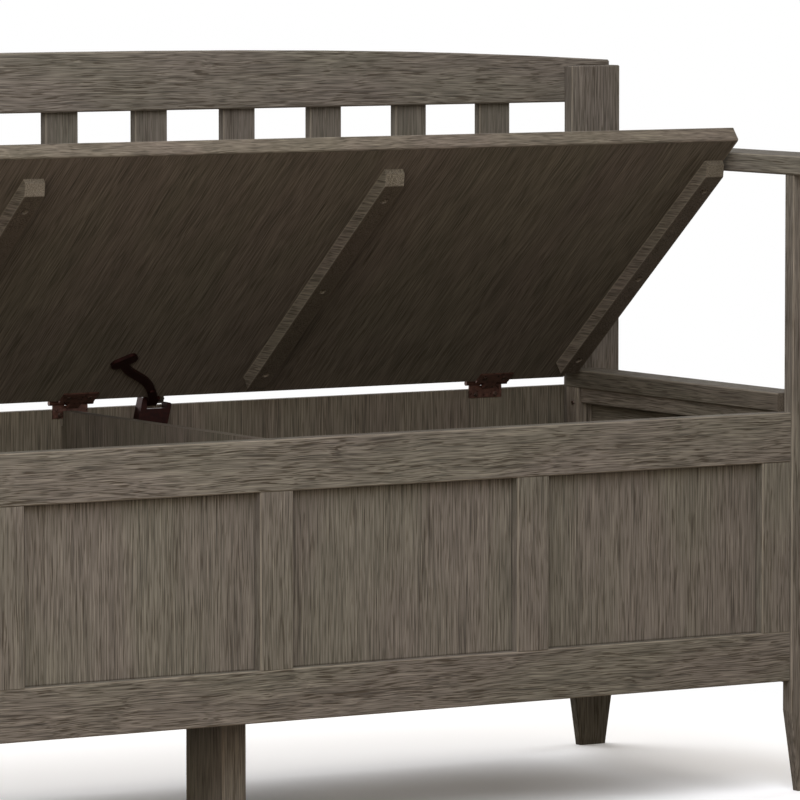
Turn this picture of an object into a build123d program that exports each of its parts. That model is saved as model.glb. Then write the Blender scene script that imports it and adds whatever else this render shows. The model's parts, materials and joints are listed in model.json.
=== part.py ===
"""Entryway storage bench: slatted back, two arms, panelled box and a hinged seat lid held open by a stay.

Millimetres, +X to the bench's right seen from the front, +Y to the back, +Z up, floor at Z = 0.
The lid is stored open, as photographed. Its pieces are drawn closed on lid_plane, which is tilted
about the hinge axis by the open angle.
"""
import os
from math import cos, radians, sin

from build123d import *

os.makedirs("parts", exist_ok=True)

# Overall sizes
bench_width = 1219.0
bench_depth = 422.0
crest_top = 687.2

# Posts, legs and arms
post_width = 56.0
post_depth = 14.2
post_round = 1.6
post_drop = 20.2
front_taper_height = 76.0
front_taper = 10.3
back_taper_height = 96.0
back_taper = 13.1
depth_taper = 2.5
arm_top = 592.7
arm_thickness = 18.1
arm_overhang = 14.5
arm_lip = 1.5
arm_round = 2.5

# Slatted back
crest_thickness = 20.0
crest_height = 55.8
crest_shoulder_inset = 195.0
crest_shoulder_drop = 5.7
crest_end_drop = 15.2
crest_inset = 2.5
crest_round = 1.5
lower_rail_rise = 45.4
lower_rail_height = 36.0
slat_count = 11
slat_end_gap = 58.2
slat_width = 34.6
slat_thickness = 10.3
slat_setback = 7.0

# Box front
case_bottom = 104.1
case_top = 354.6
bottom_rail_height = 46.5
top_rail_height = 46.0
leg_proud = 2.5
frame_thickness = 18.0
stile_width = 33.8
end_stile_width = 31.4
panel_recess = 9.5
panel_thickness = 6.0
edge_ease = 1.0

# Box sides, floor and inside
side_thickness = 18.0
side_inset = 26.0
side_drop = 4.9
side_panel_recess = 6.0
filler_lap = 5.9
filler_gap = 1.5
cleat_height = 15.0
cleat_lap = 2.0
corner_cleat_depth = 19.8
back_panel_thickness = 9.0
back_panel_inset = 8.0
floor_thickness = 9.0
floor_raise = 9.0
divider_thickness = 12.0
divider_drop = 1.0
divider_notch_depth = 4.0
divider_notch_clear = 7.0
centre_leg_width = 24.3
centre_leg_depth = 66.6
centre_leg_setback = 75.5

# Lid
lid_open = 39.0
lid_side_gap = 3.0
lid_thickness = 15.5
lid_clear = 1.7
lid_overhang = 10.8
lid_rear_gap = 10.3
lid_round = 2.0
batten_width = 19.8
batten_height = 13.2
batten_side_inset = 11.6
batten_spacing = 370.4
batten_shift = -4.0
batten_front_clear = 2.6
batten_rear = 36.0
batten_nose = 5.2
batten_bevel = 8.6
batten_screw_rear = 21.5
batten_screw_middle = 155.0
batten_screw_front = 31.0
counterbore_radius = 3.9
counterbore_depth = 7.0

# Butt hinges
hinge_axis_rise = 6.5
hinge_inset = 82.6
middle_hinge_shift = 3.0
barrel_radius = 2.3
barrel_seat = 0.1
pin_radius = 1.2
pin_clearance = 0.06
leaf_width = 37.0
leaf_thickness = 1.5
case_leaf_drop = 14.5
lid_leaf_reach = 22.5
lid_leaf_neck = 9.0
knuckle_count = 3
knuckle_gap = 0.35
pin_cap_length = 5.0
lid_web_lead = 0.9

# Screws
screw_radius = 1.4
screw_head_radius = 2.5
screw_head_height = 0.9
screw_length = 8.0
hinge_screw_x = 11.0
case_hinge_screw_drop = 11.5
lid_hinge_screw_s = 16.0
cleat_screw_end = 14.9
cleat_screw_inset = 11.8
batten_screw_radius = 1.9
batten_head_radius = 3.6
batten_head_height = 2.4
batten_screw_bite = 9.0
shank_sides = 8
head_sides = 12

# Lid stay
stay_block_x = 75.9
stay_block_rise = 3.0
stay_block_width = 31.8
stay_block_height = 22.5
stay_block_depth = 10.5
stay_block_turn = -13.5
stay_cheek = 4.1
stay_slot_drop = 8.8
stay_boss_radius = 5.4
stay_pin_radius = 2.0
stay_knuckle_length = 11.0
stay_knuckle_gap = 0.5
stay_collar_length = 9.0
stay_collar_radius = 4.0
stay_arm_width = 8.5
stay_arm_thickness = 3.2
stay_pad_length = 26.5
stay_pad_width = 12.5
stay_pad_x = 26.0
stay_pad_s = 73.5
stay_pad_turn = -38.0
stay_rivet_x = 77.0
stay_rivet_s = 22.5
stay_bend_x = 63.0
stay_bend_s = 39.5
stay_neck_x = 33.0
stay_neck_s = 62.5
stay_rivet_radius = 3.0
stay_rivet_height = 1.2

# Positions worked out from the sizes above
half_width = bench_width / 2
post_x = half_width - post_width / 2
post_inner_x = half_width - post_width
y_front = -bench_depth / 2
y_back = bench_depth / 2
y_leg_front = y_front + arm_overhang
y_leg_back = y_leg_front + post_depth
y_face = y_leg_front + leg_proud
y_frame_back = y_face + frame_thickness
y_crest_front = y_back - crest_thickness
y_post_front = y_crest_front - post_depth
arm_low = arm_top - arm_thickness
back_post_top = crest_top - post_drop
crest_low = crest_top - crest_height
crest_end = half_width - crest_inset
lower_rail_bottom = case_top + lower_rail_rise
slat_pitch = 2 * (post_inner_x - slat_end_gap - slat_width / 2) / (slat_count - 1)
opening_low = case_bottom + bottom_rail_height
opening_top = case_top - top_rail_height
opening_mid = (opening_low + opening_top) / 2
opening_height = opening_top - opening_low
stile_pitch = (post_inner_x - end_stile_width + stile_width / 2) / 2
opening_width = stile_pitch - stile_width
stile_y = y_face + frame_thickness / 2
panel_y = y_face + panel_recess + panel_thickness / 2
end_stile_x = post_inner_x - end_stile_width / 2
side_outer_x = half_width - side_inset
side_inner_x = side_outer_x - side_thickness
side_x = side_outer_x - side_thickness / 2
side_length = y_post_front - y_leg_back
side_y = (y_post_front + y_leg_back) / 2
side_bottom = case_bottom - side_drop
filler_inner_x = post_inner_x - filler_lap
cleat_inner_x = post_inner_x - cleat_lap
filler_top = case_top + lid_clear + lid_thickness
floor_bottom = case_bottom + floor_raise
floor_top = floor_bottom + floor_thickness
cleat_screw_z = (floor_top + cleat_screw_end, (floor_top + case_top) / 2, case_top - cleat_screw_end)
cleat_screw_y = y_post_front - cleat_screw_inset
y_axis = y_crest_front - barrel_radius - barrel_seat
z_axis = case_top + hinge_axis_rise
lid_half_width = filler_inner_x - lid_side_gap
lid_low = case_top + lid_clear - z_axis
lid_high = lid_low + lid_thickness
lid_front = y_face - lid_overhang - y_axis
lid_rear = -lid_rear_gap
batten_low = lid_low - batten_height
batten_front = y_axis - y_frame_back - batten_front_clear
batten_x = (
    batten_side_inset - lid_half_width,
    batten_shift - batten_spacing / 2,
    batten_shift + batten_spacing / 2,
    lid_half_width - batten_side_inset,
)
batten_screw_s = (
    batten_rear + batten_screw_rear,
    batten_rear + batten_screw_middle,
    batten_front - batten_screw_front,
)
hinge_x = (hinge_inset - lid_half_width, middle_hinge_shift, lid_half_width - hinge_inset)
hinge_screws_x = [x + offset for x in hinge_x for offset in (-hinge_screw_x, hinge_screw_x)]
case_leaf_low = z_axis - case_leaf_drop
case_leaf_neck = z_axis - barrel_radius - knuckle_gap
case_hinge_screw_z = z_axis - case_hinge_screw_drop
stay_slot_floor = z_axis - stay_slot_drop
knuckle_pitch = leaf_width / knuckle_count
knuckle_length = knuckle_pitch - knuckle_gap
sides = (("left", -1), ("right", 1))
tilt = radians(lid_open)
lid_plane = Plane(origin=(0, y_axis, z_axis), x_dir=(1, 0, 0), z_dir=(0, sin(tilt), cos(tilt)))


def finish(part, label):
    part.label = label
    export_step(part, f"parts/{label}.step")


# Front legs: boards from the floor to the arm, tapered below the box
for side, sign in sides:
    with BuildPart() as front_leg:
        with BuildSketch(Plane.XY):
            with Locations((sign * post_x, y_leg_front + post_depth / 2)):
                RectangleRounded(post_width - 2 * front_taper, post_depth - 2 * depth_taper, post_round)
        with BuildSketch(Plane.XY.offset(front_taper_height)):
            with Locations((sign * post_x, y_leg_front + post_depth / 2)):
                RectangleRounded(post_width, post_depth, post_round)
        loft(ruled=True)
        with BuildSketch(Plane.XY.offset(front_taper_height)):
            with Locations((sign * post_x, y_leg_front + post_depth / 2)):
                RectangleRounded(post_width, post_depth, post_round)
        extrude(amount=arm_low - front_taper_height)
    finish(front_leg.part, f"front_{side}_leg")

# Back posts: boards from the floor to above the crest's lower edge, tapered at the foot
for side, sign in sides:
    with BuildPart() as back_post:
        with BuildSketch(Plane.XY):
            with Locations((sign * post_x, y_post_front + post_depth / 2)):
                RectangleRounded(post_width - 2 * back_taper, post_depth - 2 * depth_taper, post_round)
        with BuildSketch(Plane.XY.offset(back_taper_height)):
            with Locations((sign * post_x, y_post_front + post_depth / 2)):
                RectangleRounded(post_width, post_depth, post_round)
        loft(ruled=True)
        with BuildSketch(Plane.XY.offset(back_taper_height)):
            with Locations((sign * post_x, y_post_front + post_depth / 2)):
                RectangleRounded(post_width, post_depth, post_round)
        extrude(amount=back_post_top - back_taper_height)
        chamfer(back_post.faces().sort_by(Axis.Z)[-1].edges(), length=edge_ease)
    finish(back_post.part, f"back_{side}_post")

# Arms: flat boards on the front legs, butted against the back posts
for side, sign in sides:
    with BuildPart() as arm:
        with BuildSketch(Plane.XY.offset(arm_low)):
            with Locations((sign * (post_x - arm_lip / 2), (y_front + y_post_front) / 2)):
                Rectangle(post_width + arm_lip, y_post_front - y_front)
        extrude(amount=arm_thickness)
        butt_end = arm.faces().sort_by(Axis.Y)[-1].edges()
        fillet([edge for edge in arm.edges() if edge not in butt_end], radius=arm_round)
    finish(arm.part, f"{side}_arm")

# Crest rail: board with an arched top, planted on the back of the posts
with BuildPart() as crest_rail:
    with BuildSketch(Plane.XZ.offset(-y_back)):
        with BuildLine():
            crest_end_top = crest_top - crest_end_drop
            crest_shoulder_x = crest_end - crest_shoulder_inset
            crest_shoulder_top = crest_top - crest_shoulder_drop
            Polyline(
                (-crest_end, crest_end_top),
                (-crest_end, crest_low),
                (crest_end, crest_low),
                (crest_end, crest_end_top),
            )
            Spline(
                (crest_end, crest_end_top),
                (crest_shoulder_x, crest_shoulder_top),
                (0, crest_top),
                (-crest_shoulder_x, crest_shoulder_top),
                (-crest_end, crest_end_top),
            )
        make_face()
    extrude(amount=crest_thickness)
    chamfer(crest_rail.edges(), length=crest_round)
finish(crest_rail.part, "crest_rail")

# Lower back rail: carries the feet of the slats, clear of the opened lid
with BuildPart() as lower_back_rail:
    with Locations((0, y_back - crest_thickness / 2, lower_rail_bottom + lower_rail_height / 2)):
        Box(2 * crest_end, crest_thickness, lower_rail_height)
    chamfer(lower_back_rail.edges().filter_by(Axis.X), length=edge_ease)
finish(lower_back_rail.part, "lower_back_rail")

# Slats between the two back rails
slat_low = lower_rail_bottom + lower_rail_height
slat_y = y_crest_front + slat_setback + slat_thickness / 2
for index in range(slat_count):
    with BuildPart() as slat:
        with Locations(((index - (slat_count - 1) / 2) * slat_pitch, slat_y, (slat_low + crest_low) / 2)):
            Box(slat_width, slat_thickness, crest_low - slat_low)
        chamfer(slat.edges().filter_by(Axis.Z), length=edge_ease)
    finish(slat.part, f"back_slat_{index + 1:02d}")

# Front rails between the front legs
with BuildPart() as front_top_rail:
    with Locations((0, stile_y, case_top - top_rail_height / 2)):
        Box(2 * post_inner_x, frame_thickness, top_rail_height)
    chamfer(front_top_rail.edges().filter_by(Axis.X), length=edge_ease)
finish(front_top_rail.part, "front_top_rail")

with BuildPart() as front_bottom_rail:
    with Locations((0, stile_y, case_bottom + bottom_rail_height / 2)):
        Box(2 * post_inner_x, frame_thickness, bottom_rail_height)
    chamfer(front_bottom_rail.edges().filter_by(Axis.X), length=edge_ease)
finish(front_bottom_rail.part, "front_bottom_rail")

# Front stiles
for name, x, width in (
    ("left_end", -end_stile_x, end_stile_width),
    ("left", -stile_pitch, stile_width),
    ("centre", 0, stile_width),
    ("right", stile_pitch, stile_width),
    ("right_end", end_stile_x, end_stile_width),
):
    with BuildPart() as stile:
        with Locations((x, stile_y, opening_mid)):
            Box(width, frame_thickness, opening_height)
        chamfer(stile.edges().filter_by(Axis.Z), length=edge_ease)
    finish(stile.part, f"front_{name}_stile")

# Recessed front panels
for index in range(4):
    with BuildPart() as front_panel:
        with Locations(((index - 1.5) * stile_pitch, panel_y, opening_mid)):
            Box(opening_width, panel_thickness, opening_height)
    finish(front_panel.part, f"front_panel_{index + 1}")

# Side frames: two rails and a recessed panel between front leg and back post
for side, sign in sides:
    with BuildPart() as side_top_rail:
        with Locations((sign * side_x, side_y, case_top - top_rail_height / 2)):
            Box(side_thickness, side_length, top_rail_height)
        chamfer(side_top_rail.edges().filter_by(Axis.Y), length=edge_ease)
    finish(side_top_rail.part, f"{side}_side_top_rail")
    with BuildPart() as side_bottom_rail:
        with Locations((sign * side_x, side_y, (side_bottom + opening_low) / 2)):
            Box(side_thickness, side_length, opening_low - side_bottom)
        chamfer(side_bottom_rail.edges().filter_by(Axis.Y), length=edge_ease)
    finish(side_bottom_rail.part, f"{side}_side_bottom_rail")
    with BuildPart() as side_panel:
        with Locations((sign * (side_outer_x - side_panel_recess - panel_thickness / 2), side_y, opening_mid)):
            Box(panel_thickness, side_length, opening_height)
    finish(side_panel.part, f"{side}_side_panel")

# Seat fillers: fixed seat boards at the ends, level with the closed lid
filler_y_low = y_leg_back + filler_gap
for side, sign in sides:
    with BuildPart() as seat_filler:
        with BuildSketch(Plane.XY.offset(case_top)):
            with Locations((sign * (filler_inner_x + side_outer_x) / 2, (filler_y_low + y_post_front) / 2)):
                Rectangle(side_outer_x - filler_inner_x, y_post_front - filler_y_low)
        extrude(amount=filler_top - case_top)
        chamfer(seat_filler.edges().filter_by(Axis.Y), length=edge_ease)
    finish(seat_filler.part, f"{side}_seat_filler")

# Cleats under the seat fillers
y_corner_cleat = y_post_front - corner_cleat_depth
for side, sign in sides:
    with BuildPart() as seat_cleat:
        with Locations(
            (
                sign * (cleat_inner_x + side_inner_x) / 2,
                (y_frame_back + y_corner_cleat) / 2,
                case_top - cleat_height / 2,
            )
        ):
            Box(side_inner_x - cleat_inner_x, y_corner_cleat - y_frame_back, cleat_height)
        chamfer(seat_cleat.edges().filter_by(Axis.Y), length=edge_ease)
    finish(seat_cleat.part, f"{side}_seat_cleat")

# Upright cleats in the two back corners, drilled for their screws
for side, sign in sides:
    with BuildPart() as corner_cleat:
        with BuildSketch(Plane.XY.offset(floor_top)):
            with Locations((sign * (filler_inner_x + side_inner_x) / 2, y_post_front - corner_cleat_depth / 2)):
                Rectangle(side_inner_x - filler_inner_x, corner_cleat_depth)
        extrude(amount=case_top - floor_top)
        chamfer(corner_cleat.edges().filter_by(Axis.Z), length=edge_ease)
        with BuildSketch(Plane.YZ.offset(sign * filler_inner_x)):
            with Locations(*[(cleat_screw_y, z) for z in cleat_screw_z]):
                RegularPolygon(screw_radius, shank_sides)
        extrude(amount=sign * screw_length, mode=Mode.SUBTRACT)
    finish(corner_cleat.part, f"{side}_corner_cleat")

# Back panel of the box, planted on the back of the posts and drilled for the hinges
with BuildPart() as back_panel:
    with BuildSketch(Plane.XZ.offset(-y_crest_front - back_panel_thickness)):
        with Locations((0, (floor_bottom + case_top) / 2)):
            Rectangle(2 * (half_width - back_panel_inset), case_top - floor_bottom)
    extrude(amount=back_panel_thickness)
    with BuildSketch(Plane.XZ.offset(-y_crest_front)):
        with Locations(*[(x, case_hinge_screw_z) for x in hinge_screws_x]):
            RegularPolygon(screw_radius, shank_sides)
    extrude(amount=leaf_thickness - screw_length, mode=Mode.SUBTRACT)
finish(back_panel.part, "back_panel")

# Floor of the box, notched around the back posts
with BuildPart() as floor_panel:
    with BuildSketch(Plane.XY.offset(floor_bottom)):
        with Locations((0, (y_frame_back + y_post_front) / 2)):
            Rectangle(2 * side_inner_x, y_post_front - y_frame_back)
        with Locations((0, (y_frame_back + y_crest_front) / 2)):
            Rectangle(2 * post_inner_x, y_crest_front - y_frame_back)
    extrude(amount=floor_thickness)
finish(floor_panel.part, "floor_panel")

# Divider between the two compartments, notched behind the middle hinge
divider_top = case_top - divider_drop
divider_notch_low = case_leaf_low - divider_notch_clear
with BuildPart() as divider:
    with BuildSketch(Plane.YZ.offset(-divider_thickness / 2)):
        with BuildLine():
            Polyline(
                (y_frame_back, floor_top),
                (y_crest_front, floor_top),
                (y_crest_front, divider_notch_low),
                (y_crest_front - divider_notch_depth, divider_notch_low),
                (y_crest_front - divider_notch_depth, divider_top),
                (y_frame_back, divider_top),
                close=True,
            )
        make_face()
    extrude(amount=divider_thickness)
finish(divider.part, "divider")

# Centre leg under the floor
with BuildPart() as centre_leg:
    with BuildSketch(Plane.XY):
        with Locations((0, y_face + centre_leg_setback + centre_leg_depth / 2)):
            Rectangle(centre_leg_width, centre_leg_depth)
    extrude(amount=floor_bottom)
    chamfer(centre_leg.edges().filter_by(Axis.Z), length=edge_ease)
finish(centre_leg.part, "centre_leg")

# Case leaves of the three butt hinges: outer knuckles with pin caps, and the pins fixed in them
case_leaf_y = y_crest_front - leaf_thickness / 2
outer_knuckle_length = knuckle_length + pin_cap_length
outer_knuckle_x = knuckle_pitch + pin_cap_length / 2
case_knuckles = [x + end * outer_knuckle_x for x in hinge_x for end in (-1, 1)]
case_necks = [x + end * knuckle_pitch for x in hinge_x for end in (-1, 1)]
with BuildPart() as hinge_case_leaves:
    with Locations(*[(x, case_leaf_y, (case_leaf_low + case_leaf_neck) / 2) for x in hinge_x]):
        Box(leaf_width, leaf_thickness, case_leaf_neck - case_leaf_low)
    with Locations(*[(x, case_leaf_y, (case_leaf_neck + z_axis) / 2) for x in case_necks]):
        Box(knuckle_length, leaf_thickness, z_axis - case_leaf_neck)
    with Locations(*[(x, y_axis, z_axis) for x in case_knuckles]):
        Cylinder(barrel_radius, outer_knuckle_length, rotation=(0, 90, 0))
    with Locations(*[(x, y_axis, z_axis) for x in hinge_x]):
        Cylinder(pin_radius, leaf_width, rotation=(0, 90, 0))
    with BuildSketch(Plane.XZ.offset(-y_crest_front)):
        with Locations(*[(x, case_hinge_screw_z) for x in hinge_screws_x]):
            RegularPolygon(screw_radius, shank_sides)
    extrude(amount=leaf_thickness, mode=Mode.SUBTRACT)
finish(hinge_case_leaves.part, "hinge_case_leaves")

# Screws of the case leaves and of the corner cleats, their shanks and heads flat-sided
with BuildPart() as case_screws:
    with BuildSketch(Plane.XZ.offset(-y_crest_front + leaf_thickness)):
        with Locations(*[(x, case_hinge_screw_z) for x in hinge_screws_x]):
            RegularPolygon(screw_head_radius, head_sides)
    extrude(amount=screw_head_height)
    with BuildSketch(Plane.XZ.offset(-y_crest_front + leaf_thickness)):
        with Locations(*[(x, case_hinge_screw_z) for x in hinge_screws_x]):
            RegularPolygon(screw_radius, shank_sides)
    extrude(amount=-screw_length)
    for side, sign in sides:
        with BuildSketch(Plane.YZ.offset(sign * filler_inner_x)):
            with Locations(*[(cleat_screw_y, z) for z in cleat_screw_z]):
                RegularPolygon(screw_head_radius, head_sides)
        extrude(amount=-sign * screw_head_height)
        with BuildSketch(Plane.YZ.offset(sign * filler_inner_x)):
            with Locations(*[(cleat_screw_y, z) for z in cleat_screw_z]):
                RegularPolygon(screw_radius, shank_sides)
        extrude(amount=sign * screw_length)
finish(case_screws.part, "case_screws")

# Lid stay: leaning block on the back panel, slotted for the arm, its left cheek holding the pivot
stay_pin_x = stay_block_x + stay_cheek
stay_collar_x = stay_pin_x + stay_knuckle_length + 2 * stay_knuckle_gap
stay_slot_width = stay_collar_x + stay_collar_length + stay_knuckle_gap - stay_pin_x
stay_block_plane = Plane.XZ.offset(stay_block_depth - y_crest_front)
with BuildPart() as stay_body:
    with BuildSketch(stay_block_plane):
        with Locations(Location((stay_block_x, z_axis + stay_block_rise), stay_block_turn)):
            Rectangle(stay_block_width, stay_block_height, align=(Align.MIN, Align.MAX))
    extrude(amount=-stay_block_depth)
    chamfer(stay_body.edges().filter_by(Axis.Y), length=edge_ease)
    with BuildSketch(stay_block_plane):
        with Locations((stay_pin_x, stay_slot_floor)):
            Rectangle(stay_slot_width, stay_block_height, align=(Align.MIN, Align.MIN))
    extrude(amount=-stay_block_depth, mode=Mode.SUBTRACT)
finish(stay_body.part, "stay_body")

# Bright pivot pin of the stay, with the collar that keeps the arm on it
with BuildPart() as stay_pivot:
    with BuildSketch(Plane.YZ.offset(stay_pin_x)):
        with Locations((y_axis, z_axis)):
            Circle(stay_pin_radius)
    extrude(amount=stay_collar_x - stay_pin_x)
    with BuildSketch(Plane.YZ.offset(stay_collar_x)):
        with Locations((y_axis, z_axis)):
            Circle(stay_collar_radius)
    extrude(amount=stay_collar_length)
finish(stay_pivot.part, "stay_pivot")

# Lid panel, drilled for the batten screws and the hinge screws
batten_screws_at = [(x, -s) for x in batten_x for s in batten_screw_s]
lid_hinge_screws_at = [(x, -lid_hinge_screw_s) for x in hinge_screws_x]
with BuildPart(lid_plane) as lid_panel:
    with Locations((0, (lid_front + lid_rear) / 2, (lid_low + lid_high) / 2)):
        Box(2 * lid_half_width, lid_rear - lid_front, lid_thickness)
    front_edges = lid_panel.edges().filter_by(Axis.X).sort_by(Axis.Z)
    fillet(front_edges[-2:], radius=lid_round)
    with BuildSketch(lid_plane.offset(lid_low)):
        with Locations(*batten_screws_at):
            RegularPolygon(batten_screw_radius, shank_sides)
    extrude(amount=batten_screw_bite, mode=Mode.SUBTRACT)
    with BuildSketch(lid_plane.offset(lid_low)):
        with Locations(*lid_hinge_screws_at):
            RegularPolygon(screw_radius, shank_sides)
    extrude(amount=screw_length - leaf_thickness, mode=Mode.SUBTRACT)
finish(lid_panel.part, "lid_panel")

# Battens under the lid, bevelled at the front end and counterbored for three screws
for index, x in enumerate(batten_x):
    with BuildPart() as batten:
        batten_side = Plane(
            origin=(x - batten_width / 2, y_axis, z_axis),
            x_dir=lid_plane.y_dir,
            z_dir=(1, 0, 0),
        )
        with BuildSketch(batten_side):
            with BuildLine():
                Polyline(
                    (-batten_front, lid_low),
                    (-batten_front, lid_low - batten_nose),
                    (-batten_front + batten_bevel, batten_low),
                    (-batten_rear, batten_low),
                    (-batten_rear, lid_low),
                    close=True,
                )
            make_face()
        extrude(amount=batten_width)
        with BuildSketch(lid_plane.offset(batten_low)):
            with Locations(*[(x, -s) for s in batten_screw_s]):
                RegularPolygon(counterbore_radius, head_sides)
        extrude(amount=counterbore_depth, mode=Mode.SUBTRACT)
        with BuildSketch(lid_plane.offset(batten_low)):
            with Locations(*[(x, -s) for s in batten_screw_s]):
                RegularPolygon(batten_screw_radius, shank_sides)
        extrude(amount=batten_height, mode=Mode.SUBTRACT)
    finish(batten.part, f"lid_batten_{index + 1}")

# Screws of the battens
with BuildPart() as batten_screws:
    with BuildSketch(lid_plane.offset(batten_low + counterbore_depth)):
        with Locations(*batten_screws_at):
            RegularPolygon(batten_head_radius, head_sides)
    extrude(amount=-batten_head_height)
    with BuildSketch(lid_plane.offset(batten_low + counterbore_depth)):
        with Locations(*batten_screws_at):
            RegularPolygon(batten_screw_radius, shank_sides)
    extrude(amount=batten_height - counterbore_depth + batten_screw_bite)
finish(batten_screws.part, "batten_screws")

# Lid leaves of the butt hinges, each with one middle knuckle on a web
lid_leaf_z = lid_low - leaf_thickness / 2
lid_web_depth = 2 * leaf_thickness
with BuildPart(lid_plane) as hinge_lid_leaves:
    with Locations(*[(x, -(lid_leaf_reach + lid_leaf_neck) / 2, lid_leaf_z) for x in hinge_x]):
        Box(leaf_width, lid_leaf_reach - lid_leaf_neck, leaf_thickness)
    with Locations(*[(x, -lid_leaf_neck / 2, lid_leaf_z) for x in hinge_x]):
        Box(knuckle_length, lid_leaf_neck, leaf_thickness)
    with Locations(*[(x, -lid_web_lead, (lid_low - leaf_thickness) / 2) for x in hinge_x]):
        Box(knuckle_length, lid_web_depth, leaf_thickness - lid_low)
    with Locations(*[(x, 0, 0) for x in hinge_x]):
        Cylinder(barrel_radius, knuckle_length, rotation=(0, 90, 0))
    with Locations(*[(x, 0, 0) for x in hinge_x]):
        Cylinder(pin_radius + pin_clearance, knuckle_pitch, rotation=(0, 90, 0), mode=Mode.SUBTRACT)
    with BuildSketch(lid_plane.offset(lid_low)):
        with Locations(*lid_hinge_screws_at):
            RegularPolygon(screw_radius, shank_sides)
    extrude(amount=-leaf_thickness, mode=Mode.SUBTRACT)
finish(hinge_lid_leaves.part, "hinge_lid_leaves")

# Screws of the lid leaves
with BuildPart() as hinge_lid_screws:
    with BuildSketch(lid_plane.offset(lid_low - leaf_thickness)):
        with Locations(*lid_hinge_screws_at):
            RegularPolygon(screw_head_radius, head_sides)
    extrude(amount=-screw_head_height)
    with BuildSketch(lid_plane.offset(lid_low - leaf_thickness)):
        with Locations(*lid_hinge_screws_at):
            RegularPolygon(screw_radius, shank_sides)
    extrude(amount=screw_length)
finish(hinge_lid_screws.part, "hinge_lid_screws")

# Stay arm: knuckle on the pivot, curved flat arm with a rivet, and a pad on the lid
stay_knuckle_x = stay_pin_x + stay_knuckle_gap + stay_knuckle_length / 2
with BuildPart(lid_plane) as stay_arm:
    with Locations((stay_knuckle_x, 0, 0)):
        Cylinder(stay_boss_radius, stay_knuckle_length, rotation=(0, 90, 0))
    with Locations((stay_knuckle_x, -stay_boss_radius, lid_low - stay_arm_thickness / 2)):
        Box(stay_knuckle_length, 2 * stay_boss_radius, stay_arm_thickness)
    with Locations((stay_knuckle_x, -stay_boss_radius / 2, lid_low / 2)):
        Box(stay_knuckle_length, stay_boss_radius, -lid_low)
    with BuildSketch(lid_plane.offset(lid_low - stay_arm_thickness)):
        with BuildLine():
            arm_path = Spline(
                (stay_knuckle_x, -stay_boss_radius),
                (stay_rivet_x, -stay_rivet_s),
                (stay_bend_x, -stay_bend_s),
                (stay_neck_x, -stay_neck_s),
                (stay_pad_x, -stay_pad_s),
            )
        trace(arm_path, line_width=stay_arm_width)
        with Locations(Location((stay_pad_x, -stay_pad_s), stay_pad_turn)):
            SlotOverall(stay_pad_length, stay_pad_width)
    extrude(amount=stay_arm_thickness)
    with BuildSketch(lid_plane.offset(lid_low - stay_arm_thickness)):
        with Locations((stay_rivet_x, -stay_rivet_s)):
            Circle(stay_rivet_radius)
    extrude(amount=-stay_rivet_height)
    with Locations((stay_knuckle_x, 0, 0)):
        Cylinder(stay_pin_radius + pin_clearance, 2 * stay_knuckle_length, rotation=(0, 90, 0), mode=Mode.SUBTRACT)
finish(stay_arm.part, "stay_arm")
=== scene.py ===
"""Entryway storage bench: slatted back, flat arms, a panelled box and a hinged seat lid standing open.
The boards are oak in a wire-brushed grey-brown stain; the hinges, screws and lid stay are dark bronze."""
import json
from math import cos, pi, radians, sin

import bmesh
import bpy
from mathutils import Matrix, Vector


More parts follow.
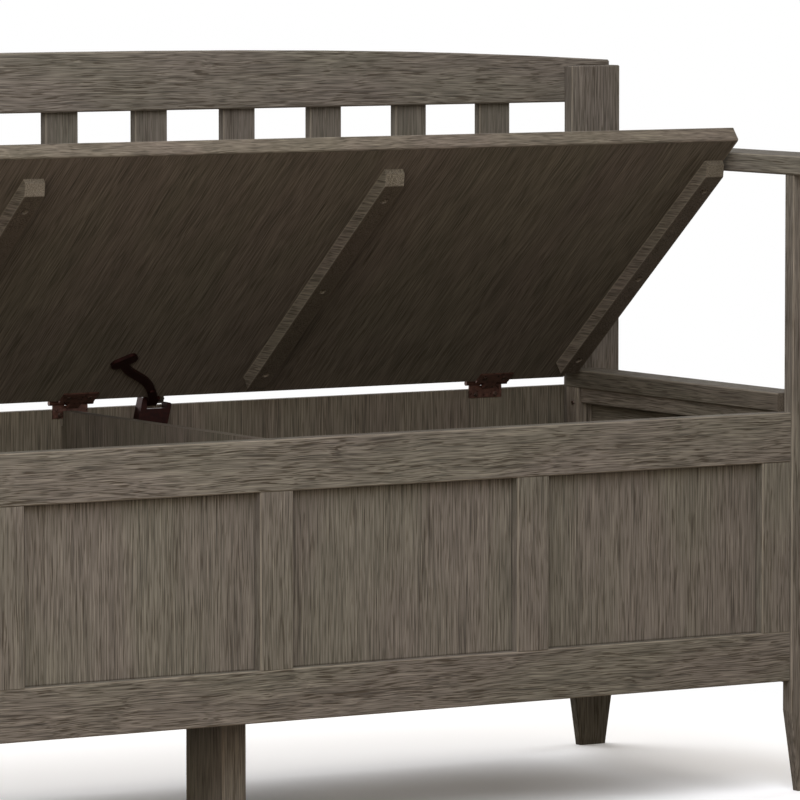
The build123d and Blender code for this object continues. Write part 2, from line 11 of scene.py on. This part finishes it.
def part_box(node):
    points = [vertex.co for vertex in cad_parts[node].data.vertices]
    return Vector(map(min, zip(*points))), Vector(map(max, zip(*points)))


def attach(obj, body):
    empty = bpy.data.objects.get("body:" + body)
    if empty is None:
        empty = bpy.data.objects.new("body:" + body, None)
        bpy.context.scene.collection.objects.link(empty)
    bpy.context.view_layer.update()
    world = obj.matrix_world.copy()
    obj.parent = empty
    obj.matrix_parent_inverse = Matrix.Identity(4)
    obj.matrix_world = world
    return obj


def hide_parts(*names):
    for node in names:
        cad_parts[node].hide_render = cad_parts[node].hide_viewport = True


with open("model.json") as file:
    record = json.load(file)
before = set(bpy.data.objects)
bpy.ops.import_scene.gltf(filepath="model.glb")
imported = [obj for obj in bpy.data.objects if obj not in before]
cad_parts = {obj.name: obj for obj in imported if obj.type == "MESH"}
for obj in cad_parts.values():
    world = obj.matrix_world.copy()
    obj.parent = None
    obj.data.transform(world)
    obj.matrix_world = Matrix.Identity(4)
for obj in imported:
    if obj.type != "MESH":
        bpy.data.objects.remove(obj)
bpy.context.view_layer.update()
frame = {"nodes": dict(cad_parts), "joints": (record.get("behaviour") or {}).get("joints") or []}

# Legs: two front boards that run from the floor up to the arms, and two back boards up to the crest.
# Solid oak, sawn with the grain upright, tapered below the box, and brushed so that the soft grain sinks.
class Tone:
    """A value in one finish. Sums and products of tones add Math nodes to that finish."""

    def __init__(self, tree, socket=None):
        self.tree = tree
        self.socket = socket

    def node(self, kind, settings, sockets, result=0):
        made = self.tree.nodes.new("ShaderNode" + kind)
        for name, value in settings.items():
            setattr(made, name, value)
        for name, value in sockets.items():
            if isinstance(value, Tone):
                self.tree.links.new(value.socket, made.inputs[name])
            else:
                made.inputs[name].default_value = value
        return Tone(self.tree, made.outputs[result] if made.outputs else None)

    def maths(self, operation, *values):
        return self.node("Math", {"operation": operation}, dict(enumerate(values)))

    def __add__(self, other):
        return self.maths("ADD", self, other)

    def __sub__(self, other):
        return self.maths("SUBTRACT", self, other)

    def __rsub__(self, other):
        return self.maths("SUBTRACT", other, self)

    def __mul__(self, other):
        return self.maths("MULTIPLY", self, other)

    __radd__ = __add__
    __rmul__ = __mul__

    def cloud(self, size, detail=1.0, result=0):
        place = self.node("VectorMath", {"operation": "DIVIDE"}, {0: self, 1: size})
        return self.node("TexNoise", {}, {"Vector": place, "Scale": 1.0, "Detail": detail}, result)

    def step(self, low, high):
        limits = {"Value": self, "From Min": low, "From Max": high}
        return self.node("MapRange", {"interpolation_type": "SMOOTHSTEP"}, limits)

    def mix(self, start, end):
        return self.node("Mix", {"data_type": "RGBA"}, {0: self, 6: start, 7: end}, 2)


def stain(red, green, blue):
    """A colour as the eye reads it, 0 to 255, as the renderer's linear values."""
    parts = [value / 255 for value in (red, green, blue)]
    return tuple(((part + 0.055) / 1.055) ** 2.4 for part in parts) + (1.0,)


def finish_of(name):
    """A new finish without nodes, and the start of its node tree."""
    finish = bpy.data.materials.new(name)
    finish.use_nodes = True
    finish.node_tree.nodes.clear()
    return finish, Tone(finish.node_tree)


def dress(node, finish):
    """One finish all over a CAD node."""
    for place in frame["nodes"][node].material_slots:
        place.material = finish


def oak(node, along, stroke=0.025, wave=0.003, depth=0.65, contrast=1.9, clump=0.3, tone=1.0,
        size=None, pivot=(0.0, 0.0, 0.0), tilt=0.0, level=False, edging=None, ends=0.25, under=None,
        over=None, sunk=False, stains=((95, 91, 83), (97, 91, 85))):
    """Brushed oak for one board, its grain running along x, y or z of the board.

    The pores have a length (stroke), a wander (wave), a darkness (depth) and a gathering in bands (clump),
    and the growth lines have a contrast. A board that is turned about its pivot is given its own size.
    The colour can be darker at the sawn ends and below a height. Above a height it is darkened as painted
    shade, round a sunk panel it is darkened as painted shade of the recess, and its long edges are paler,
    partly rubbed wear and partly a painted highlight. An edging strip has its own grain.
    """
    low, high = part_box(node)
    centre, half = size or ((low + high) / 2, (high - low) / 2)
    finish, start = finish_of(node + "_oak")

    def span(length, width):
        return tuple(length if axis == along else width for axis in "xyz")

    place = start.node("TexCoord", {}, {}, "Object")
    turn = {"Vector": place, "Location": pivot, "Rotation": (tilt, 0.0, 0.0)}
    board = start.node("Mapping", {"vector_type": "TEXTURE"}, turn)
    parts = [start.node("SeparateXYZ", {}, {0: board}, axis) for axis in range(3)]

    # Long edges are paler, partly rubbed wear and partly a painted highlight; sawn ends are darker
    rub_and_highlight_edge = (0.0004, 0.0018)
    sawn_edge = (0.0001, 0.0006)
    reach = [half[axis] - start.maths("ABSOLUTE", parts[axis] - centre[axis]) for axis in range(3)]
    lengthwise = "xyz".index(along)
    across = [reach[axis] for axis in range(3) if axis != lengthwise]
    rub_and_highlight = 1 - start.maths("MAXIMUM", *across).step(*rub_and_highlight_edge)
    sawn = 1 - reach[lengthwise].step(*sawn_edge)

    # An edging strip has its grain along it, and each board is cut from its own place in the tree
    grain = place if level else board
    if edging is not None:
        strip_edge = 0.0002
        strip_stretch = 2.5
        turned = start.node("CombineXYZ", {}, {0: parts[1], 1: parts[0] * strip_stretch, 2: parts[2]})
        strip = 1 - parts[1].step(edging - strip_edge, edging + strip_edge)
        grain = start.node("Mix", {"data_type": "VECTOR"}, {0: strip, 4: grain, 5: turned}, 1)
    number = len(bpy.data.materials)
    board_shift = (0.731, 0.417, 0.293)
    apart = tuple(shift * number for shift in board_shift)
    grain = start.node("VectorMath", {"operation": "ADD"}, {0: grain, 1: apart})

    # Wandering growth lines, short open pores in bands, and slow changes of stain
    line_width = 0.001
    pore_width = 0.0008
    pore_edge = (0.53, 0.67)
    sway_size = (0.08, 0.03)
    patch_size = (0.12, 0.009)
    band_size = (0.6, 0.018)
    cloud_size = (0.2, 0.07)
    sway = grain.cloud(span(*sway_size), result="Color")
    bend = {0: sway, 1: span(0.0, wave), 2: grain}
    drift = start.node("VectorMath", {"operation": "MULTIPLY_ADD"}, bend)
    lines = drift.cloud(span(2.0 * stroke, line_width))
    pores = drift.cloud(span(stroke, pore_width))
    patches = drift.cloud(span(*patch_size))
    bands = drift.cloud(span(*band_size))
    clouds = grain.cloud(span(*cloud_size))
    strokes = (pores + patches * clump).step(*[edge + clump / 2 for edge in pore_edge])

    # The stain is lighter and darker along the growth lines and dark in the pores
    cloud_edge = (0.35, 0.65)
    band_share = 0.25
    mean_shade = 0.87
    pore_stain = stain(52, 45, 36)
    ground = clouds.step(*cloud_edge).mix(*[stain(*shades) for shades in stains])
    shade = (lines * contrast + bands * band_share + (mean_shade - contrast / 2)) * tone
    multiply = {"data_type": "RGBA", "blend_type": "MULTIPLY"}
    ground = start.node("Mix", multiply, {0: 1.0, 6: ground, 7: shade}, 2)
    colour = (strokes * depth).mix(ground, pore_stain)
    if sunk:
        # Painted shade: the rim of a sunk panel is darkened where the frame shades the recess
        painted_recess_shade_edge = (0.0002, 0.002)
        painted_recess_shade_share = 0.6
        painted_recess_shade_stain = stain(38, 32, 26)
        painted_recess_shade = 1 - start.maths("MINIMUM", reach[0], reach[2]).step(*painted_recess_shade_edge)
        colour = (painted_recess_shade * painted_recess_shade_share).mix(colour, painted_recess_shade_stain)
    else:
        # Paler long edges: partly rubbed wear, partly a painted highlight
        rub_and_highlight_share = 0.4
        rub_and_highlight_stain = stain(128, 119, 107)
        colour = (rub_and_highlight * rub_and_highlight_share).mix(colour, rub_and_highlight_stain)
    # The sawn ends are darker
    end_dark_colour = stain(50, 43, 35)
    colour = (sawn * ends).mix(colour, end_dark_colour)
    darkening_edge = 0.0008
    # The board is darker below a height
    if under is not None:
        under_dark_share = 0.55
        under_dark_colour = stain(52, 44, 36)
        below = 1 - parts[2].step(under, under + darkening_edge)
        colour = (below * under_dark_share).mix(colour, under_dark_colour)
    # Painted shade: the top face above a height is darkened
    if over is not None:
        painted_top_shade_share = 0.8
        painted_top_shade_stain = stain(60, 54, 46)
        above = parts[2].step(over - darkening_edge, over)
        colour = (above * painted_top_shade_share).mix(colour, painted_top_shade_stain)

    # Brushing leaves the hard lines standing and the pores open
    brushed_share = 0.6
    brushed_depth = 0.0004
    height = lines * brushed_share - strokes * brushed_share
    relief = start.node("Bump", {}, {"Strength": 0.4, "Distance": brushed_depth, "Height": height})
    skin = start.node("BsdfPrincipled", {}, {
        "Base Color": colour, "Roughness": strokes * 0.15 + 0.7, "Normal": relief,
        "Specular IOR Level": 0.06})
    start.node("OutputMaterial", {}, {"Surface": skin})
    dress(node, finish)


for leg in ("front_left_leg", "front_right_leg"):
    oak(leg, "z")
# The back posts are toned darker as painted shade, for the lid's shadow on their lower part
for post in ("back_left_post", "back_right_post"):
    oak(post, "z", tone=0.92)

# Arms: flat oak boards, grain front to back, laid on the front legs and butted against the back legs.
# Their tops are darkened as painted shade.
for arm in ("left_arm", "right_arm"):
    arm_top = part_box(arm)[1].z
    oak(arm, "y", over=arm_top)

# Back rails: solid oak with the grain running across. The crest is sawn to a low arch, and the lower rail is
# straight. Both are fixed behind the back legs and hold the ends of the slats.
for rail in ("crest_rail", "lower_back_rail"):
    oak(rail, "x", stroke=0.022, wave=0.006, depth=0.75, contrast=2.1)

# Back slats: eleven thin upright oak boards with a quiet grain, set between the crest and the lower rail
# at an even pitch and a little behind their faces.
# Their tone of 0.84 darkens them as painted shade under the crest and lid
for slat in range(1, 12):
    oak(f"back_slat_{slat:02d}", "z", depth=0.5, contrast=1.3, tone=0.84)

# Box front: two long oak rails with five short stiles between them, glued up as one frame.
# The rails are cut from lively boards with open pores, the stiles from plainer ones.
for rail in ("front_top_rail", "front_bottom_rail"):
    oak(rail, "x", stroke=0.022, wave=0.006, depth=0.8, contrast=2.4)
for stile in ("left_end", "left", "centre", "right", "right_end"):
    oak(f"front_{stile}_stile", "z", contrast=1.75)

# Front panels: four thin veneered boards with the grain upright, sunk in the openings of the frame.
# Painted shade darkens them where they meet it, in the corners of the recess.
for panel in range(1, 5):
    oak(f"front_panel_{panel}", "z", wave=0.0015, depth=0.6, contrast=1.95, clump=0.16, sunk=True)

# Box sides: oak rails above and below a thin panel, and over them the fixed seat strip on its cleat.
# An upright cleat in the back corner ties them to the back leg. The inside is stained browner, as a painted
# warm cast of its shade.
inside_warm_shade_stains = ((95, 89, 79), (97, 89, 81))
for side in ("left", "right"):
    for board in ("side_top_rail", "side_bottom_rail", "seat_cleat"):
        oak(f"{side}_{board}", "y", stains=inside_warm_shade_stains)
    # The seat strip is toned darker as painted shade, under the open lid
    oak(f"{side}_seat_filler", "y", tone=0.72, stains=inside_warm_shade_stains)
    oak(f"{side}_side_panel", "z", stains=inside_warm_shade_stains)
    oak(f"{side}_corner_cleat", "z", tone=1.1, stains=inside_warm_shade_stains)

# Box inside: thin veneered boards for the back panel, the floor and the divider between the compartments,
# and below the floor a short solid leg that keeps it from sagging.
# The divider is toned darker as painted shade inside the box
for board, tone in (("back_panel", 1.0), ("divider", 0.83)):
    oak(board, "z", wave=0.0015, depth=0.5, tone=tone, stains=inside_warm_shade_stains)
# The centre leg is toned lighter as painted light, in the shade under the box
oak("centre_leg", "z", wave=0.0015, depth=0.5, tone=1.2)
oak("floor_panel", "x", stains=inside_warm_shade_stains)

# Lid: a veneered board with its grain front to back and an edging strip glued on along the front.
# It turns about the pins of its hinges, and the sizes below are measured from that line.
hinge_line = frame["joints"][0]["pos_m"]
hinge_y, hinge_z = hinge_line[1:]
lid_open = radians(39.0)
lid_rear = -0.0103
lid_front = -0.3934
lid_low = -0.0048
lid_high = 0.0107
lid_half_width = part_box("lid_panel")[1].x
edging_width = 0.0025
lid_middle = Vector((0.0, (lid_front + lid_rear) / 2, (lid_low + lid_high) / 2))
lid_half = Vector((lid_half_width, (lid_rear - lid_front) / 2, (lid_high - lid_low) / 2))
# Its tone of 0.91 darkens it as painted shade, and the browner inside stains are a painted warm cast of shade
oak("lid_panel", "y", stroke=0.03, wave=0.004, depth=0.4, tone=0.91, size=(lid_middle, lid_half),
    pivot=hinge_line, tilt=-lid_open, edging=lid_front + edging_width, ends=0.0, stains=inside_warm_shade_stains)

# Battens: four solid oak strips under the lid that keep it flat, their front ends bevelled.
# Each is held by three screws in counterbores.
batten_x = (-0.533, -0.1892, 0.1812, 0.533)
batten_half_width = 0.0099
batten_low = -0.018
batten_front = -0.362
batten_rear = -0.036
for number, x in enumerate(batten_x):
    middle = Vector((x, (batten_front + batten_rear) / 2, (batten_low + lid_low) / 2))
    half = Vector((batten_half_width, (batten_rear - batten_front) / 2, (lid_low - batten_low) / 2))
    # A tone of 1.08 lightens them as painted light, and the browner inside stains are a painted warm cast of
    # shade
    oak(f"lid_batten_{number + 1}", "y", stroke=0.022, tone=1.08, size=(middle, half), pivot=hinge_line,
        tilt=-lid_open, level=True, ends=0.0, under=batten_low, stains=inside_warm_shade_stains)


# Hinges and stay: pressed steel with a dark, mottled bronze coat. The hinges are screwed to the back panel
# and under the lid, and the stay's block sits on the back panel with its curved arm under the lid.
def metal(name, colour, roughness, shine):
    """A coated or bare metal with a mottled colour and a fine uneven skin."""
    mottle_size = (0.004, 0.004, 0.004)
    mottle_edge = (0.3, 0.75)
    mottle_shares = (0.82, 1.18)
    speck_size = (0.0011, 0.0011, 0.0011)
    speck_share = 0.4
    skin_depth = 0.0002
    finish, start = finish_of(name)
    place = start.node("TexCoord", {}, {}, "Object")
    mottle = place.cloud(mottle_size, detail=3.0)
    specks = place.cloud(speck_size)
    dim, full = [stain(*[share * part for part in colour]) for share in mottle_shares]
    tint = mottle.step(*mottle_edge).mix(dim, full)
    height = mottle + specks * speck_share
    relief = start.node("Bump", {}, {"Strength": 0.15, "Distance": skin_depth, "Height": height})
    skin = start.node("BsdfPrincipled", {}, {
        "Base Color": tint, "Roughness": mottle * 0.2 + roughness, "Normal": relief, "Metallic": shine})
    start.node("OutputMaterial", {}, {"Surface": skin})
    return finish


hinge_bronze = metal("hinge_bronze", (90, 63, 55), 0.2, 0.6)
for fitting in ("hinge_case_leaves", "hinge_lid_leaves"):
    dress(fitting, hinge_bronze)
stay_bronze = metal("stay_bronze", (38, 10, 5), 0.35, 0.7)
for fitting in ("stay_body", "stay_arm"):
    dress(fitting, stay_bronze)

# Stay pivot: a plain steel pin on the hinge line, turned from bar and held in the stay's block.
# A bevelled hexagon nut beside the arm sets its friction.
bright_steel = metal("bright_steel", (165, 160, 154), 0.15, 0.9)
pivot_low, pivot_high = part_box("stay_pivot")
pin_sides = 12
pin_radius = 0.002
nut_sides = 6
nut_radius = 0.0052
nut_bevel = 0.0008
nut_start = 0.092
pin_end = nut_start + nut_bevel


def fit(shape, node, body, finish):
    """A finished piece that stands for one CAD node and rides on its body."""
    bmesh.ops.recalc_face_normals(shape, faces=shape.faces)
    mesh = bpy.data.meshes.new("detailed_" + node)
    shape.to_mesh(mesh)
    shape.free()
    mesh.materials.append(finish)
    made = bpy.data.objects.new("detailed_" + node, mesh)
    bpy.context.collection.objects.link(made)
    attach(made, body)
    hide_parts(node)


pin = (pin_sides, pin_radius, pivot_low.x, pin_end)
nut = (nut_sides, nut_radius, nut_start, pivot_high.x)
along_hinge = Matrix.Rotation(pi / 2, 4, "Y")
pivot = bmesh.new()
for sides, radius, first, last in (pin, nut):
    stand = Matrix.Translation(((first + last) / 2, hinge_y, hinge_z)) @ along_hinge
    bmesh.ops.create_cone(pivot, cap_ends=True, segments=sides, radius1=radius, radius2=radius,
                          depth=last - first, matrix=stand)
nut_rims = [edge for face in pivot.faces if len(face.verts) == nut_sides for edge in face.edges]
bmesh.ops.bevel(pivot, geom=nut_rims, offset=nut_bevel, offset_type="OFFSET", affect="EDGES", segments=1,
                profile=0.5, material=-1)
fit(pivot, "stay_pivot", "case", bright_steel)

# Screws: turned pan heads with a pressed cross recess, bronzed like the hinges. They hold the battens and
# the hinge leaves to the lid, the case leaves to the back panel and the corner cleats to the sides.
screw_bronze = metal("screw_bronze", (66, 50, 42), 0.2, 0.6)
screw_sides = 12
cross_margin = 0.08
cross_tip = 0.58
cross_root = 0.21
cross_taper = 0.72
cross_depth = 0.55


def screws(node, body, places, outward, radius, rise, shank, length):
    """Pan-head screws, each with the seat of its head on a place and facing its own way outward."""
    # Half a head from the rim of its flat top down, then the shank and its point
    outline = [(0.66 * radius, 0.98 * rise), (0.88 * radius, 0.8 * rise), (radius, 0.4 * rise), (radius, 0.0),
               (shank, 0.0), (shank, -0.8 * length), (0.2 * shank, -length)]
    one = bmesh.new()
    points = [one.verts.new((x, 0.0, z)) for x, z in outline]
    edges = [one.edges.new(pair) for pair in zip(points, points[1:])]
    bmesh.ops.spin(one, geom=points + edges, axis=(0.0, 0.0, 1.0), angle=2 * pi, steps=screw_sides,
                   use_merge=True)
    bmesh.ops.holes_fill(one, edges=one.edges, sides=screw_sides)

    # The cross is pressed into the top: every third corner of an inner face is drawn in, and the face sinks
    top = max(one.faces, key=lambda face: face.calc_center_median().z)
    bmesh.ops.inset_individual(one, faces=[top], thickness=cross_margin * radius)
    for step, corner in enumerate(top.verts):
        reach = (cross_root if step % 3 == 0 else cross_tip) * radius
        corner.co = (corner.co * Vector((1.0, 1.0, 0.0))).normalized() * reach + Vector((0.0, 0.0, rise))
    sunk = bmesh.ops.extrude_discrete_faces(one, faces=[top])["faces"][0]
    bmesh.ops.scale(one, vec=(cross_taper, cross_taper, 1.0), verts=sunk.verts)
    bmesh.ops.translate(one, vec=(0.0, 0.0, -cross_depth * rise), verts=sunk.verts)
    pattern = bpy.data.meshes.new(node + "_pattern")
    one.to_mesh(pattern)
    one.free()

    shape = bmesh.new()
    for place, way in zip(places, outward):
        stand = Matrix.Translation(place) @ Vector(way).to_track_quat("Z", "Y").to_matrix().to_4x4()
        before = len(shape.verts)
        shape.from_mesh(pattern)
        shape.verts.ensure_lookup_table()
        bmesh.ops.transform(shape, matrix=stand, verts=shape.verts[before:])
    bpy.data.meshes.remove(pattern)
    fit(shape, node, body, screw_bronze)


def on_lid(x, y, height):
    """A place in the lid's own frame, as it stands at rest."""
    return Vector((x, hinge_y + y * cos(lid_open) + height * sin(lid_open),
                   hinge_z - y * sin(lid_open) + height * cos(lid_open)))


lid_down = Vector((0.0, -sin(lid_open), -cos(lid_open)))
batten_screw_y = (-0.0575, -0.191, -0.331)
counterbore_floor = -0.011
batten_places = [on_lid(x, y, counterbore_floor) for x in batten_x for y in batten_screw_y]
screws("batten_screws", "lid", batten_places, [lid_down] * len(batten_places),
       radius=0.0036, rise=0.0024, shank=0.0019, length=0.0152)

hinge_x = (-0.462, 0.003, 0.462)
leaf_screw_offset = 0.011
lid_leaf_face = -0.0063
lid_screw_y = -0.016
small_screw = {"radius": 0.0025, "rise": 0.0009, "shank": 0.0014, "length": 0.008}
leaf_screw_x = [x + side * leaf_screw_offset for x in hinge_x for side in (-1, 1)]
lid_places = [on_lid(x, lid_screw_y, lid_leaf_face) for x in leaf_screw_x]
screws("hinge_lid_screws", "lid", lid_places, [lid_down] * len(lid_places), **small_screw)

case_leaf_face = 0.1895
case_screw_z = 0.3496
cleat_face = 0.5476
cleat_screw_y = 0.165
cleat_screw_z = (0.137, 0.23835, 0.3397)
case_places = [(x, case_leaf_face, case_screw_z) for x in leaf_screw_x]
case_ways = [(0.0, -1.0, 0.0)] * len(case_places)
for side in (-1, 1):
    case_places += [(side * cleat_face, cleat_screw_y, z) for z in cleat_screw_z]
    case_ways += [(-side, 0.0, 0.0)] * len(cleat_screw_z)
screws("case_screws", "case", case_places, case_ways, **small_screw)

# Studio: a pale seamless floor, white to the camera and dull to bounced light, under a soft warm sky.
# A large softbox stands at the front left with a low warm fill beside it. A second softbox behind the bench
# and a fill at its right end light the floor there.
floor_size = 9.0
sheet = bmesh.new()
bmesh.ops.create_grid(sheet, x_segments=1, y_segments=1, size=floor_size)
floor_mesh = bpy.data.meshes.new("studio_floor")
sheet.to_mesh(floor_mesh)
sheet.free()
floor = bpy.data.objects.new("studio_floor", floor_mesh)
bpy.context.collection.objects.link(floor)


def seen(start):
    """One where the camera looks, straight or through a reflection."""
    rays = [start.node("LightPath", {}, {}, f"Is {ray} Ray") for ray in ("Camera", "Glossy", "Transmission")]
    return start.maths("MAXIMUM", rays[0], start.maths("MAXIMUM", rays[1], rays[2]))


brown_bounce = (0.18, 0.147, 0.112, 1.0)
white_paper = (0.94, 0.955, 0.99, 1.0)
plain_white = (1.0, 1.0, 1.0, 1.0)
glow_start = 0.6
glow_full = 1.05
paper, start = finish_of("floor_paper")
dull = start.node("BsdfDiffuse", {}, {"Color": brown_bounce})
white = start.node("BsdfDiffuse", {}, {"Color": white_paper})
glow = start.node("Emission", {}, {"Color": plain_white, "Strength": 1.0})
place = start.node("TexCoord", {}, {}, "Object")
away = start.node("VectorMath", {"operation": "LENGTH"}, {0: place}, "Value")
pale = start.node("MixShader", {}, {0: away.step(glow_start, glow_full), 1: white, 2: glow})
surface = start.node("MixShader", {}, {0: seen(start), 1: dull, 2: pale})
start.node("OutputMaterial", {}, {"Surface": surface})
floor_mesh.materials.append(paper)

sky = bpy.data.worlds.new("studio_sky")
bpy.context.scene.world = sky
sky.use_nodes = True
sky.node_tree.nodes.clear()
start = Tone(sky.node_tree)
warm_sky = (1.0, 0.885, 0.74, 1.0)
sky_strength = 0.5
horizon_blur = 0.02
height = start.node("SeparateXYZ", {}, {0: start.node("TexCoord", {}, {}, "Generated")}, 2)
above = height.step(-horizon_blur, horizon_blur)
lit = start.node("Background", {}, {"Color": warm_sky, "Strength": above * sky_strength})
plain = start.node("Background", {}, {"Color": plain_white, "Strength": 1.0})
surface = start.node("MixShader", {}, {0: seen(start), 1: lit, 2: plain})
start.node("OutputWorld", {}, {"Surface": surface})

aim = Vector((0.0, 0.0, 0.3))


def lamp(name, turn, rise, away, size, watts, colour=(1.0, 1.0, 1.0)):
    """A softbox aimed at the bench, turned left from the front and raised, in degrees."""
    turn, rise = radians(turn), radians(rise)
    ray = Vector((-sin(turn) * cos(rise), -cos(turn) * cos(rise), sin(rise)))
    bulb = bpy.data.lights.new(name, "AREA")
    bulb.shape = "RECTANGLE"
    bulb.size, bulb.size_y = size
    bulb.energy = watts
    bulb.color = colour
    stand = bpy.data.objects.new(name, bulb)
    stand.location = aim + away * ray
    stand.rotation_euler = (-ray).to_track_quat("-Z", "Y").to_euler()
    bpy.context.collection.objects.link(stand)


lamp("key_softbox", turn=35.0, rise=45.0, away=2.4, size=(2.4, 2.4), watts=81.0, colour=(0.98, 1.0, 1.035))
lamp("side_fill", turn=36.0, rise=8.0, away=3.0, size=(1.6, 0.8), watts=27.0, colour=(1.0, 0.87, 0.7))
lamp("right_fill", turn=-100.0, rise=24.0, away=2.8, size=(1.4, 1.0), watts=20.0)
lamp("back_softbox", turn=184.0, rise=36.0, away=2.8, size=(3.4, 2.2), watts=72.0)

# Camera: a long lens from the front left, a little above the crest and looking slightly down.
# It frames the right part of the bench, as the photograph does.
eye = Vector((-2.8267, -4.9706, 0.8356))
target = Vector((0.1274, -0.1940, 0.3843))
lens = bpy.data.cameras.new("photo_camera")
lens.lens = 284.51
lens.sensor_width = 36.0
lens.clip_end = 100.0
camera = bpy.data.objects.new("photo_camera", lens)
camera.location = eye
camera.rotation_euler = (target - eye).to_track_quat("-Z", "Y").to_euler()
bpy.context.collection.objects.link(camera)
bpy.context.scene.camera = camera

bpy.context.scene.view_settings.view_transform = "Standard"
